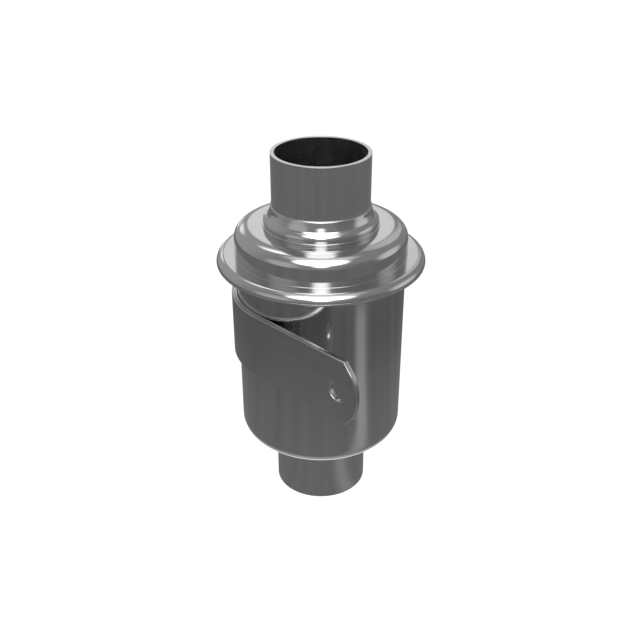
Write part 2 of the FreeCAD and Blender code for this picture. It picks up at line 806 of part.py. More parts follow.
def check_and_write():
    """Stops at anything that failed, then writes each piece to its own file."""
    doc.recompute()
    for item in doc.Objects:
        if "Invalid" in item.State or "Error" in item.State:
            raise RuntimeError(f"{item.Label} failed: {item.State}")
    bodies = [item for item in doc.Objects if item.TypeId == "PartDesign::Body"]
    for body in bodies:
        if body.Shape.isNull() or not body.Shape.isValid():
            raise RuntimeError(f"{body.Label} has no valid shape")
    os.makedirs("parts", exist_ok=True)
    for body in bodies:
        body.Shape.exportStep(f"parts/{body.Label}.step")
        box = body.Shape.BoundBox
        print(f"{body.Label}: {len(body.Shape.Solids)} solid(s), {body.Shape.Volume:.0f} mm3,"
              f" heights {box.ZMin:.2f} to {box.ZMax:.2f}")


make_all()
check_and_write()
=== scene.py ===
"""The looks of a stainless non-return valve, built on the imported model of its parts.

The valve's lengths are in millimetres, and the studio's are in metres.
An outline's corners are (radius, height, bend). A bend of 0 is a small broken edge.
"""
import bmesh
import bpy
import json
import math
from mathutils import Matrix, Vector


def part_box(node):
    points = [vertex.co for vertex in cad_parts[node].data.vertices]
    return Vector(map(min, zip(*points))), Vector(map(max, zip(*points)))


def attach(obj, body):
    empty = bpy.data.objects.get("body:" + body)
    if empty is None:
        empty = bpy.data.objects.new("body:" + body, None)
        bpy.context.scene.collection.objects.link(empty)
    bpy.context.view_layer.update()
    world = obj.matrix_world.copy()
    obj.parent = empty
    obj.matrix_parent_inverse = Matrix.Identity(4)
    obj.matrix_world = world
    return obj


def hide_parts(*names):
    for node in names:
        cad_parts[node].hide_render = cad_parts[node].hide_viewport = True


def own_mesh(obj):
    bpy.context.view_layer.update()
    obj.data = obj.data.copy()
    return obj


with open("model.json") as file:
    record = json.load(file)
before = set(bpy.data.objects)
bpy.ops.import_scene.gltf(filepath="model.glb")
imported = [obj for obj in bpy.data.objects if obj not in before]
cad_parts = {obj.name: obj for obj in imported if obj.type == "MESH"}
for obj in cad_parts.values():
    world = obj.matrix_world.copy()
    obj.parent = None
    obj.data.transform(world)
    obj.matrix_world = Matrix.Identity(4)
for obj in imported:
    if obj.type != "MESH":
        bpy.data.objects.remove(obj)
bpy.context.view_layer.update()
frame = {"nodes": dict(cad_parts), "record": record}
MM = 0.001

# The camera, fitted to the photograph
CAMERA_PLACE = (-0.0005, -0.41379, 0.3316)
CAMERA_PITCH = 61.02
CAMERA_LENS = 48.753
CAMERA_SENSOR = 36.0

# The studio: a white world and floor, with a tent and two cards that only reflections see
WHITE = (1.0, 1.0, 1.0, 1.0)
WALL_LIGHT = 0.45
FLOOR_RADIUS = 8.0
FLOOR_PAINT = (0.3, 0.3, 0.3, 1.0)
FLOOR_SHINE = 0.93
TENT_RADIUS = 1.4
TENT_GREY = 0.31
CARD_RADIUS = 1.39
CARD_HEIGHT = 0.0002
LAMP_AIM = Vector((0.0, 0.0, 0.12))
LAMP_DISTANCE = 1.25
STUDIO_SIDES = 96

# Patches on the tent: where each aims, the angles where it starts and stops fading, and its gain
TENT_PATCHES = (
    ((0.0, -1.0, 1.6), 20.0, 29.0, 2.4),
    ((0.0, -1.0, 0.56), 3.0, 12.0, 1.8),
    ((0.0, -0.05, 1.0), 8.0, 28.0, 0.7),
    ((0.0, 1.0, 0.48), 9.2, 11.8, 0.57),
    ((-0.34, 0.8, 0.42), 2.5, 7.5, 0.8),
    ((-0.36, 0.93, 0.14), 2.0, 7.0, 0.75),
    ((-0.24, 0.57, 0.85), 4.0, 10.0, 1.3),
    ((0.33, 0.82, 0.40), 2.0, 7.0, 0.22),
    ((0.3, 0.72, 0.62), 5.0, 14.0, 0.35),
    ((-0.72, -0.6, 0.34), 10.0, 26.0, 0.25),
    ((-0.7, 0.7, 0.3), 10.0, 60.0, 0.12),
    ((0.8, -0.6, 0.05), 10.0, 35.0, -0.10),
    ((0.95, 0.1, 0.25), 8.0, 26.0, 0.45),
)

# How much each kind of mark adds to a surface's light, roughness and height
# The edge mark brightens the colour along edges: partly rubbed wear, partly a painted highlight.
EDGE_RUB_AND_PAINTED_HIGHLIGHT = 0.08
SMUDGE_LIGHT = -0.03
EDGE_ROUGHNESS = -0.04
SMUDGE_ROUGHNESS = 0.035
SCRATCH_ROUGHNESS = 0.12
LEAST_ROUGHNESS = 0.05
SCRATCH_HEIGHT = -0.8
BAND_HEIGHT = 1.5

# How finely the round pieces are made, and how far a broken edge goes
SIDES = 256
SLIM_SIDES = 96
BEND_STEP = 7.5
LEAST_BEND_STEPS = 4
EDGE_BREAK = 0.15
EDGE_SHARE = 0.45


def reach_foot_top(node):
    """How far a node reaches to the right, and its foot and top, in millimetres.

    A turned node's reach is its outer radius.
    """
    low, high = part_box(node)
    return round(high[0] / MM, 2), round(low[2] / MM, 2), round(high[2] / MM, 2)


# Radii and levels read from the model
TUBE_SKIN, UPPER_TUBE_FOOT, UPPER_TUBE_TOP = reach_foot_top("upper_tube")
LOWER_TUBE_TOP = reach_foot_top("lower_tube")[2]
RING_SKIN, RING_FOOT, RING_TOP = reach_foot_top("neck_ring")
RIM_SKIN, RIM_FOOT, DOME_TOP = reach_foot_top("upper_shell")
FLANGE_SKIN, DRUM_FOOT, FLANGE_TOP = reach_foot_top("lower_shell")
SEAM_TOP = reach_foot_top("upper_seam_gasket")[2]
STRAP_FOOT, STRAP_TOP = reach_foot_top("mounting_strap")[1:]
SPRING_SKIN, SPRING_FOOT, SPRING_TOP = reach_foot_top("return_spring")
COLLAR_SKIN, STEM_FOOT, STEM_TOP = reach_foot_top("valve_stem")
COLLAR_TOP = reach_foot_top("spring_cup")[2]

# Sizes that several pieces share, as in the model
GROUND = 0.0
FIT_GAP = 0.05
SHEET = 1.0
TUBE_WALL = 2.1
TUBE_BORE = TUBE_SKIN - TUBE_WALL
TUBE_SEAT = TUBE_SKIN + FIT_GAP
DRUM_SKIN = 44.45
DRUM_SEAT = DRUM_SKIN + FIT_GAP
STRAP_THICKNESS = 3.0
STRAP_MIDDLE = DRUM_SEAT + STRAP_THICKNESS / 2
STRAP_LEVEL = (STRAP_FOOT + STRAP_TOP) / 2
STRAP_TURN = math.radians(-45.0)


# Helpers for node trees

def new_material(name):
    """An empty node material, with its tree and its output node."""
    material = bpy.data.materials.new(name)
    material.use_nodes = True
    tree = material.node_tree
    tree.nodes.clear()
    output = tree.nodes.new("ShaderNodeOutputMaterial")
    return material, tree, output


def new_group(name, inputs, outputs):
    """A node group with named sockets: (name, kind, default) in and (name, kind) out."""
    group = bpy.data.node_groups.new(name, "ShaderNodeTree")
    for label, kind, default in inputs:
        socket = group.interface.new_socket(label, in_out="INPUT", socket_type=kind)
        if default is not None:
            socket.default_value = default
    for label, kind in outputs:
        group.interface.new_socket(label, in_out="OUTPUT", socket_type=kind)
    entry = group.nodes.new("NodeGroupInput")
    leave = group.nodes.new("NodeGroupOutput")
    return group, entry, leave


def feed(tree, socket, value):
    """Joins a socket to another one, or sets it to a plain value."""
    if isinstance(value, bpy.types.NodeSocket):
        tree.links.new(value, socket)
    else:
        socket.default_value = value


def maths(tree, operation, *values):
    """A maths node of sockets and plain numbers. Returns its value."""
    node = tree.nodes.new("ShaderNodeMath")
    node.operation = operation
    for socket, value in zip(node.inputs, values):
        feed(tree, socket, value)
    return node.outputs["Value"]


def vector_maths(tree, operation, *values):
    """A vector maths node. Returns its vector."""
    node = tree.nodes.new("ShaderNodeVectorMath")
    node.operation = operation
    for socket, value in zip(node.inputs, values):
        feed(tree, socket, value)
    return node.outputs["Vector"]


def scaled(tree, vector, factor):
    """A vector or colour times a factor."""
    node = tree.nodes.new("ShaderNodeVectorMath")
    node.operation = "SCALE"
    feed(tree, node.inputs[0], vector)
    feed(tree, node.inputs["Scale"], factor)
    return node.outputs["Vector"]


def ramp(tree, value, low, high, low_result=0.0, high_result=1.0):
    """A smooth change from one result to the other as the value goes from low to high."""
    node = tree.nodes.new("ShaderNodeMapRange")
    node.interpolation_type = "SMOOTHSTEP"
    feed(tree, node.inputs["Value"], value)
    feed(tree, node.inputs["From Min"], low)
    feed(tree, node.inputs["From Max"], high)
    feed(tree, node.inputs["To Min"], low_result)
    feed(tree, node.inputs["To Max"], high_result)
    return node.outputs["Result"]


def between(tree, share, near, far):
    """The value from near to far, at a share from 0 to 1."""
    return maths(tree, "MULTIPLY_ADD", share, far - near, near)


def distance_from(tree, value, middle):
    """How far a value is from its middle, on either side."""
    return maths(tree, "ABSOLUTE", maths(tree, "SUBTRACT", value, middle))


def noise(tree, place, scale, detail=2.0, extra=None):
    """A noise value, in three dimensions or, with an extra value, in four."""
    node = tree.nodes.new("ShaderNodeTexNoise")
    node.noise_dimensions = "3D" if extra is None else "4D"
    feed(tree, node.inputs["Vector"], place)
    feed(tree, node.inputs["Scale"], scale)
    node.inputs["Detail"].default_value = detail
    if extra is not None:
        feed(tree, node.inputs["W"], extra)
    return node.outputs[0]


def split_place(tree, place):
    """The X, Y and Z of a place, and its distance from the Z axis."""
    split = tree.nodes.new("ShaderNodeSeparateXYZ")
    feed(tree, split.inputs["Vector"], place)
    across, along, height = split.outputs
    squares = maths(tree, "MULTIPLY_ADD", across, across, maths(tree, "MULTIPLY", along, along))
    return across, along, height, maths(tree, "SQRT", squares)


def place_group(tree, group, **values):
    """Places a node group and fills its inputs. An input's spaces are underscores here."""
    node = tree.nodes.new("ShaderNodeGroup")
    node.node_tree = group
    for label, value in values.items():
        feed(tree, node.inputs[label.replace("_", " ")], value)
    return node.outputs


# The studio

def build_studio():
    """The camera, the world, the floor, the tent, the cards and the lamps."""
    scene = bpy.context.scene
    scene.view_settings.view_transform = "Standard"
    place_camera(scene)
    light_world(scene)
    lay_floor()
    raise_tent()
    lay_dark_card()
    lay_under_card()
    hang_lamps()


def place_camera(scene):
    """The camera at the photograph's place and angle."""
    lens = bpy.data.cameras.new("camera")
    lens.lens = CAMERA_LENS
    lens.sensor_width = CAMERA_SENSOR
    camera = bpy.data.objects.new("camera", lens)
    camera.location = CAMERA_PLACE
    camera.rotation_euler = (math.radians(CAMERA_PITCH), 0.0, 0.0)
    scene.collection.objects.link(camera)
    scene.camera = camera


def sees_backdrop(tree):
    """1 for the rays that should see a white background."""
    path = tree.nodes.new("ShaderNodeLightPath")
    seen = maths(tree, "MAXIMUM", path.outputs["Is Camera Ray"], path.outputs["Is Glossy Ray"])
    return maths(tree, "MAXIMUM", seen, path.outputs["Is Transmission Ray"])


def light_world(scene):
    """White behind the object, and a plain grey light everywhere else."""
    world = bpy.data.worlds.new("studio_white")
    scene.world = world
    world.use_nodes = True
    tree = world.node_tree
    tree.nodes.clear()
    output = tree.nodes.new("ShaderNodeOutputWorld")
    light = tree.nodes.new("ShaderNodeBackground")
    light.inputs["Color"].default_value = WHITE
    strength = ramp(tree, sees_backdrop(tree), low=0.0, high=1.0, low_result=WALL_LIGHT)
    feed(tree, light.inputs["Strength"], strength)
    tree.links.new(light.outputs["Background"], output.inputs["Surface"])


def circle(radius, height):
    """Points round the Z axis, for a flat piece of the studio."""
    points = []
    for side in range(STUDIO_SIDES):
        turn = 2 * math.pi * side / STUDIO_SIDES
        points.append((radius * math.cos(turn), radius * math.sin(turn), height))
    return points


def stage_piece(name, points, faces):
    """A piece of the studio, which isn't part of the object."""
    mesh = bpy.data.meshes.new(name)
    mesh.from_pydata(points, [], faces)
    piece = bpy.data.objects.new(name, mesh)
    bpy.context.scene.collection.objects.link(piece)
    return piece


def flat_disc(name, radius, height):
    """A flat round piece of the studio."""
    return stage_piece(name, circle(radius, height), [tuple(range(STUDIO_SIDES))])


def flat_ring(name, inner, outer, height):
    """A flat piece of the studio between two radii, which faces upwards."""
    faces = []
    for side in range(STUDIO_SIDES):
        after = (side + 1) % STUDIO_SIDES
        faces.append((side, STUDIO_SIDES + side, STUDIO_SIDES + after, after))
    return stage_piece(name, circle(inner, height) + circle(outer, height), faces)


def only_in_reflections(piece):
    """Hides a piece of the studio from everything but reflections."""
    piece.visible_camera = False
    piece.visible_diffuse = False
    piece.visible_transmission = False
    piece.visible_shadow = False
    piece.visible_volume_scatter = False


def shining(name):
    """A material that only shines. Returns it with its tree and its strength socket."""
    material, tree, output = new_material(name)
    shine = tree.nodes.new("ShaderNodeEmission")
    tree.links.new(shine.outputs["Emission"], output.inputs["Surface"])
    return material, tree, shine.inputs["Strength"]


def clear_from_below(tree, seen_from_above, output):
    """Gives a flat piece its shader from above, and leaves it clear from below."""
    shape = tree.nodes.new("ShaderNodeNewGeometry")
    clear = tree.nodes.new("ShaderNodeBsdfTransparent")
    sided = tree.nodes.new("ShaderNodeMixShader")
    tree.links.new(shape.outputs["Backfacing"], sided.inputs["Fac"])
    tree.links.new(seen_from_above, sided.inputs[1])
    tree.links.new(clear.outputs["BSDF"], sided.inputs[2])
    tree.links.new(sided.outputs["Shader"], output.inputs["Surface"])


def place_in_studio(tree):
    """The place of the point that is being shaded."""
    return tree.nodes.new("ShaderNodeNewGeometry").outputs["Position"]


def lay_floor():
    """A pale floor that takes the object's shadow. It is clear from below, to show the underside."""
    floor = flat_disc("floor", FLOOR_RADIUS, 0.0)
    material, tree, output = new_material("pale_floor")
    paint = tree.nodes.new("ShaderNodeBsdfDiffuse")
    paint.inputs["Color"].default_value = FLOOR_PAINT
    shine = tree.nodes.new("ShaderNodeEmission")
    strength = maths(tree, "MULTIPLY", sees_backdrop(tree), FLOOR_SHINE)
    feed(tree, shine.inputs["Strength"], strength)
    both = tree.nodes.new("ShaderNodeAddShader")
    tree.links.new(paint.outputs["BSDF"], both.inputs[0])
    tree.links.new(shine.outputs["Emission"], both.inputs[1])
    clear_from_below(tree, both.outputs["Shader"], output)
    floor.data.materials.append(material)


def card_grey(tree, radius, bearing):
    """The dark card's grey: darkest about 0.26 m out, and mottled from bearing to bearing."""
    mottle_scale, mottle_gain = 5.0, 0.09
    near = ramp(tree, radius, low=0.08, high=0.25, low_result=0.20, high_result=0.135)
    far = ramp(tree, radius, low=0.27, high=0.36, high_result=0.06)
    point = tree.nodes.new("ShaderNodeCombineXYZ")
    feed(tree, point.inputs["X"], maths(tree, "MULTIPLY", bearing, mottle_scale))
    cloud = maths(tree, "SUBTRACT", noise(tree, point.outputs["Vector"], 1.0), 0.5)
    return maths(tree, "MULTIPLY_ADD", cloud, mottle_gain, maths(tree, "ADD", near, far))


def card_streak(tree, radius, bearing, outwards):
    """A pale streak on the dark card, to the right in front, wider and fainter near the object."""
    middle = between(tree, outwards, math.radians(-50.0), math.radians(-39.0))
    spread = between(tree, outwards, math.radians(23.0), math.radians(12.0))
    gain = between(tree, outwards, 0.12, 0.22)
    swing = distance_from(tree, bearing, middle)
    shape = ramp(tree, swing, math.radians(2.0), spread, low_result=1.0, high_result=0.0)
    reach = ramp(tree, radius, low=0.26, high=0.32, low_result=1.0, high_result=0.0)
    return maths(tree, "MULTIPLY", maths(tree, "MULTIPLY", shape, gain), reach)


def card_back(tree, bearing, outwards):
    """The dark card's pale part behind the object, narrower further out."""
    swing = distance_from(tree, bearing, math.radians(90.0))
    spread = between(tree, outwards, math.radians(52.0), math.radians(24.0))
    return ramp(tree, swing, math.radians(10.0), spread, low_result=0.8, high_result=0.0)


def lay_dark_card():
    """A dark card on the floor, with a pale streak in front and a pale part behind."""
    card = flat_disc("dark_card", CARD_RADIUS, CARD_HEIGHT)
    only_in_reflections(card)
    material, tree, strength = shining("dark_card")
    across, along, height, radius = split_place(tree, place_in_studio(tree))
    bearing = maths(tree, "ARCTAN2", along, across)
    outwards = ramp(tree, radius, low=0.07, high=0.13)
    level = card_grey(tree, radius, bearing)
    level = maths(tree, "ADD", level, card_streak(tree, radius, bearing, outwards))
    level = maths(tree, "ADD", level, card_back(tree, bearing, outwards))
    feed(tree, strength, level)
    card.data.materials.append(material)


def lay_under_card():
    """A small pale card round the lower tube, for the drum's bottom corner to reflect."""
    card = flat_ring("under_card", inner=0.027, outer=0.050, height=0.031)
    only_in_reflections(card)
    material, tree, output = new_material("under_card")
    radius = split_place(tree, place_in_studio(tree))[3]
    inner_gain = ramp(tree, radius, low=0.036, high=0.043, low_result=0.65, high_result=0.0)
    outer_gain = ramp(tree, radius, low=0.046, high=0.050, low_result=0.45, high_result=0.2)
    shine = tree.nodes.new("ShaderNodeEmission")
    feed(tree, shine.inputs["Strength"], maths(tree, "ADD", inner_gain, outer_gain))
    clear_from_below(tree, shine.outputs["Emission"], output)
    card.data.materials.append(material)


def soft_patch_group():
    """A soft round patch: 1 towards its aim, and 0 beyond its outer angle."""
    group, entry, leave = new_group("soft_patch", (
        ("Direction", "NodeSocketVector", None),
        ("Aim", "NodeSocketVector", None),
        ("Inner Cosine", "NodeSocketFloat", 0.95),
        ("Outer Cosine", "NodeSocketFloat", 0.7),
    ), (("Mask", "NodeSocketFloat"),))
    given = entry.outputs
    facing = group.nodes.new("ShaderNodeVectorMath")
    facing.operation = "DOT_PRODUCT"
    feed(group, facing.inputs[0], given["Direction"])
    feed(group, facing.inputs[1], vector_maths(group, "NORMALIZE", given["Aim"]))
    mask = ramp(group, facing.outputs["Value"], given["Outer Cosine"], given["Inner Cosine"])
    feed(group, leave.inputs["Mask"], mask)
    return group


def raise_tent():
    """A grey tent round the object, with soft brighter and darker patches."""
    bpy.ops.mesh.primitive_uv_sphere_add(segments=STUDIO_SIDES, ring_count=STUDIO_SIDES // 2,
                                         radius=TENT_RADIUS)
    tent = bpy.context.object
    tent.name = "tent"
    only_in_reflections(tent)
    material, tree, strength = shining("tent_light")
    direction = vector_maths(tree, "NORMALIZE", place_in_studio(tree))
    group = soft_patch_group()
    level = TENT_GREY
    for aim, inner, outer, gain in TENT_PATCHES:
        patch = place_group(tree, group, Direction=direction, Aim=aim,
                            Inner_Cosine=math.cos(math.radians(inner)),
                            Outer_Cosine=math.cos(math.radians(outer)))
        level = maths(tree, "MULTIPLY_ADD", patch["Mask"], gain, level)
    feed(tree, strength, level)
    tent.data.materials.append(material)


def soft_lamp(name, azimuth, elevation, width, height, radiance):
    """A softbox that faces the object and lights matt surfaces only.

    Azimuth 0 is towards the camera, and + is to its right.
    """
    light = bpy.data.lights.new(name, "AREA")
    light.shape = "RECTANGLE"
    light.size = width
    light.size_y = height
    light.energy = radiance * math.pi * width * height
    lamp = bpy.data.objects.new(name, light)
    turn = math.radians(azimuth)
    rise = math.radians(elevation)
    flat = math.cos(rise)
    away = Vector((math.sin(turn) * flat, -math.cos(turn) * flat, math.sin(rise)))
    lamp.location = LAMP_AIM + away * LAMP_DISTANCE
    lamp.rotation_euler = away.to_track_quat("Z", "Y").to_euler()
    lamp.visible_camera = False
    lamp.visible_glossy = False
    bpy.context.scene.collection.objects.link(lamp)


def hang_lamps():
    """A tall softbox in front and overhead, and a strip on the left. Steel doesn't mirror them."""
    soft_lamp("front_softbox", azimuth=0.0, elevation=50.0, width=0.42, height=1.24, radiance=1.7)
    soft_lamp("left_strip", azimuth=-50.0, elevation=28.0, width=0.36, height=1.5, radiance=0.66)


# Finishes

def turned_lines_group():
    """Fine rings round the Z axis, as a lathe or a spinning roller leaves them."""
    group, entry, leave = new_group("turned_lines", (
        ("Place", "NodeSocketVector", None),
        ("Lines", "NodeSocketFloat", 1400.0),
        ("Wander", "NodeSocketFloat", 0.6),
    ), (("Rings", "NodeSocketFloat"), ("Broad Rings", "NodeSocketFloat")))
    given = entry.outputs
    across, along, height, radius = split_place(group, given["Place"])
    safe_radius = maths(group, "MAXIMUM", radius, 0.5 * MM)
    cosine = maths(group, "DIVIDE", across, safe_radius)
    sine = maths(group, "DIVIDE", along, safe_radius)
    for label, share, detail in (("Rings", 1.0, 3.0), ("Broad Rings", 0.07, 1.0)):
        lines = maths(group, "MULTIPLY", given["Lines"], share)
        point = group.nodes.new("ShaderNodeCombineXYZ")
        feed(group, point.inputs["X"], maths(group, "MULTIPLY", radius, lines))
        feed(group, point.inputs["Y"], maths(group, "MULTIPLY", height, lines))
        feed(group, point.inputs["Z"], maths(group, "MULTIPLY", cosine, given["Wander"]))
        drift = maths(group, "MULTIPLY", sine, given["Wander"])
        feed(group, leave.inputs[label], noise(group, point.outputs["Vector"], 1.0, detail, drift))
    return group


def drawn_lines_group():
    """Long fine lines along one direction, as drawing or rolling leaves them."""
    band_scale = 0.09
    group, entry, leave = new_group("drawn_lines", (
        ("Place", "NodeSocketVector", None),
        ("Spread", "NodeSocketVector", None),
    ), (("Lines", "NodeSocketFloat"), ("Bands", "NodeSocketFloat")))
    point = vector_maths(group, "MULTIPLY", entry.outputs["Place"], entry.outputs["Spread"])
    feed(group, leave.inputs["Lines"], noise(group, point, 1.0, detail=3.0))
    feed(group, leave.inputs["Bands"], noise(group, point, band_scale, detail=1.0))
    return group


def handling_group():
    """Soft smudges and a few hairline scratches."""
    drift_scale, drift_length = 9.0, 0.05
    patch_scale, hair_width = 70.0, 0.006
    group, entry, leave = new_group("handling_marks", (
        ("Place", "NodeSocketVector", None),
        ("Smudge Size", "NodeSocketFloat", 45.0),
        ("Scratch Size", "NodeSocketFloat", 60.0),
    ), (("Smudges", "NodeSocketFloat"), ("Scratches", "NodeSocketFloat")))
    given = entry.outputs
    cloud = noise(group, given["Place"], given["Smudge Size"], detail=4.0)
    feed(group, leave.inputs["Smudges"], ramp(group, cloud, low=0.35, high=0.7))
    drift = group.nodes.new("ShaderNodeTexNoise")
    feed(group, drift.inputs["Vector"], given["Place"])
    drift.inputs["Scale"].default_value = drift_scale
    shift = scaled(group, drift.outputs["Color"], drift_length)
    cells = group.nodes.new("ShaderNodeTexVoronoi")
    cells.feature = "DISTANCE_TO_EDGE"
    feed(group, cells.inputs["Vector"], vector_maths(group, "ADD", given["Place"], shift))
    feed(group, cells.inputs["Scale"], given["Scratch Size"])
    hair = ramp(group, cells.outputs["Distance"], 0.0, hair_width, low_result=1.0, high_result=0.0)
    patchy = ramp(group, noise(group, given["Place"], patch_scale, detail=1.0), low=0.58, high=0.66)
    feed(group, leave.inputs["Scratches"], maths(group, "MULTIPLY", hair, patchy))
    return group


def edge_rub_and_painted_highlight_group():
    """Where edges stand proud: rubbed brighter than the rest, and partly a painted highlight along the
    edges.
    """
    group, entry, leave = new_group("edge_rub_and_painted_highlight", (
        ("Start", "NodeSocketFloat", 0.52),
        ("Full", "NodeSocketFloat", 0.62),
    ), (("Edge", "NodeSocketFloat"),))
    shape = group.nodes.new("ShaderNodeNewGeometry")
    edge = ramp(group, shape.outputs["Pointiness"], entry.outputs["Start"], entry.outputs["Full"])
    feed(group, leave.inputs["Edge"], edge)
    return group


def surface_group():
    """Puts the marks together into a colour, a roughness and a height."""
    group, entry, leave = new_group("marked_surface", (
        ("Tone", "NodeSocketColor", None),
        ("Roughness", "NodeSocketFloat", 0.2),
        ("Roughness Play", "NodeSocketFloat", 0.06),
        ("Tone Play", "NodeSocketFloat", 0.04),
        ("Lines", "NodeSocketFloat", 0.5),
        ("Bands", "NodeSocketFloat", 0.5),
        ("Smudges", "NodeSocketFloat", 0.0),
        ("Scratches", "NodeSocketFloat", 0.0),
        ("Edge", "NodeSocketFloat", 0.0),
    ), (("Colour", "NodeSocketColor"), ("Roughness", "NodeSocketFloat"), ("Height", "NodeSocketFloat")))
    given = entry.outputs
    play = maths(group, "SUBTRACT", maths(group, "ADD", given["Lines"], given["Bands"]), 1.0)
    light = maths(group, "MULTIPLY_ADD", play, given["Tone Play"], 1.0)
    # Edges brighten the colour: rubbed wear, and partly a painted highlight.
    light = maths(group, "MULTIPLY_ADD", given["Edge"], EDGE_RUB_AND_PAINTED_HIGHLIGHT, light)
    light = maths(group, "MULTIPLY_ADD", given["Smudges"], SMUDGE_LIGHT, light)
    feed(group, leave.inputs["Colour"], scaled(group, given["Tone"], light))
    rough = maths(group, "MULTIPLY_ADD", play, given["Roughness Play"], given["Roughness"])
    rough = maths(group, "MULTIPLY_ADD", given["Smudges"], SMUDGE_ROUGHNESS, rough)
    rough = maths(group, "MULTIPLY_ADD", given["Scratches"], SCRATCH_ROUGHNESS, rough)
    rough = maths(group, "MULTIPLY_ADD", given["Edge"], EDGE_ROUGHNESS, rough)
    feed(group, leave.inputs["Roughness"], maths(group, "MAXIMUM", rough, LEAST_ROUGHNESS))
    height = maths(group, "MULTIPLY_ADD", given["Scratches"], SCRATCH_HEIGHT, given["Lines"])
    height = maths(group, "MULTIPLY_ADD", given["Bands"], BAND_HEIGHT, height)
    feed(group, leave.inputs["Height"], height)
    return group


TURNED_LINES = turned_lines_group()
DRAWN_LINES = drawn_lines_group()
HANDLING = handling_group()
EDGE_RUB_AND_HIGHLIGHT_GROUP = edge_rub_and_painted_highlight_group()
SURFACE = surface_group()


def finish(name, tone, roughness, marks, relief, tone_play=0.05, scratches=0.25, metallic=1.0,
           edge_rub_and_highlight_gain=1.0):
    """A finish: its tone, roughness, tool marks and the depth of their relief in millimetres."""
    material, tree, output = new_material(name)
    shader = tree.nodes.new("ShaderNodeBsdfPrincipled")
    shader.inputs["Metallic"].default_value = metallic
    place = tree.nodes.new("ShaderNodeTexCoord").outputs["Object"]
    lines, bands = marks(tree, place)
    hands = place_group(tree, HANDLING, Place=place)
    edge = place_group(tree, EDGE_RUB_AND_HIGHLIGHT_GROUP)
    surface = place_group(tree, SURFACE, Tone=(*tone, 1.0), Roughness=roughness, Tone_Play=tone_play,
                          Lines=lines, Bands=bands, Smudges=hands["Smudges"],
                          Scratches=maths(tree, "MULTIPLY", hands["Scratches"], scratches),
                          Edge=maths(tree, "MULTIPLY", edge["Edge"], edge_rub_and_highlight_gain))
    bump = tree.nodes.new("ShaderNodeBump")
    bump.inputs["Distance"].default_value = relief * MM
    feed(tree, bump.inputs["Height"], surface["Height"])
    feed(tree, shader.inputs["Base Color"], surface["Colour"])
    feed(tree, shader.inputs["Roughness"], surface["Roughness"])
    feed(tree, shader.inputs["Normal"], bump.outputs["Normal"])
    tree.links.new(shader.outputs["BSDF"], output.inputs["Surface"])
    return material


def lathe_marks(lines, wander=0.6):
    """Tool marks that run round the axis."""
    def marks(tree, place):
        rings = place_group(tree, TURNED_LINES, Place=place, Lines=lines, Wander=wander)
        return rings["Rings"], rings["Broad Rings"]
    return marks


def drawn_marks(spread):
    """Tool marks along a direction: they are longest where their spread is smallest."""
    def marks(tree, place):
        grain = place_group(tree, DRAWN_LINES, Place=place, Spread=spread)
        return grain["Lines"], grain["Bands"]
    return marks


STEEL_TONE = (0.60, 0.60, 0.605)

FINISHES = {
    "tube_steel": finish("drawn_tube_steel", STEEL_TONE, roughness=0.20,
                         marks=drawn_marks((2600.0, 2600.0, 60.0)), relief=0.0004, tone_play=0.08),
    "turned_steel": finish("turned_bright_steel", STEEL_TONE, roughness=0.09,
                           marks=lathe_marks(5200.0), relief=0.0006),
    "weld_steel": finish("weld_bead_steel", (0.57, 0.565, 0.56), roughness=0.22,
                         marks=lathe_marks(900.0, wander=30.0), relief=0.002),
    "spun_steel": finish("spun_polished_steel", STEEL_TONE, roughness=0.085,
                         marks=lathe_marks(2600.0), relief=0.0004, tone_play=0.06),
    # The strap's edges are brightened six times as much: a painted highlight along its edges.
    "strap_steel": finish("rolled_strap_steel", (0.57, 0.57, 0.575), roughness=0.21,
                          marks=drawn_marks((90.0, 90.0, 3000.0)), relief=0.0006, tone_play=0.08,
                          edge_rub_and_highlight_gain=6.0),
    "pressed_steel": finish("pressed_sheet_steel", (0.58, 0.58, 0.585), roughness=0.24,
                            marks=drawn_marks((300.0, 2600.0, 2600.0)), relief=0.0006),
    "spring_steel": finish("spring_wire_steel", (0.50, 0.50, 0.505), roughness=0.22,
                           marks=lathe_marks(1200.0, wander=6.0), relief=0.0006),
    "fastener_steel": finish("fastener_steel", (0.56, 0.56, 0.565), roughness=0.20,
                             marks=lathe_marks(4200.0), relief=0.0008),
    "bush_bronze": finish("bush_bronze", (0.50, 0.33, 0.16), roughness=0.24,
                          marks=lathe_marks(4800.0), relief=0.001),
    "gasket_sheet": finish("graphite_gasket_sheet", (0.045, 0.045, 0.047), roughness=0.62,
                           marks=drawn_marks((1800.0, 1800.0, 1800.0)), relief=0.02, tone_play=0.5,
                           scratches=0.0, metallic=0.0),
    "seal_rubber": finish("seal_rubber", (0.028, 0.027, 0.026), roughness=0.52,
                          marks=drawn_marks((1400.0, 1400.0, 1400.0)), relief=0.01, tone_play=0.3,
                          scratches=0.0, metallic=0.0),
}


# Helpers for pieces

def finish_piece(piece, body, slot, *nodes):
    """Lets a new piece ride on its body, stand for its nodes and take their finish."""
    if nodes:
        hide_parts(*nodes)
    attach(piece, body)
    piece.data.materials.append(FINISHES[slot])


def mesh_piece(name, points, faces, normals=None):
    """A smooth piece from points in millimetres, with its own normals if they are given."""
    mesh = bpy.data.meshes.new(name)
    mesh.from_pydata([Vector(point) * MM for point in points], [], faces)
    mesh.shade_smooth()
    if normals is not None:
        mesh.normals_split_custom_set_from_vertices(normals)
    piece = bpy.data.objects.new(name, mesh)
    bpy.context.scene.collection.objects.link(piece)
    return piece


def face_outwards(piece, sharp_angle):
    """Turns a closed piece's faces outwards, and marks its sharp edges."""
    work = bmesh.new()
    work.from_mesh(piece.data)
    bmesh.ops.recalc_face_normals(work, faces=work.faces)
    work.to_mesh(piece.data)
    work.free()
    piece.data.set_sharp_from_angle(angle=math.radians(sharp_angle))


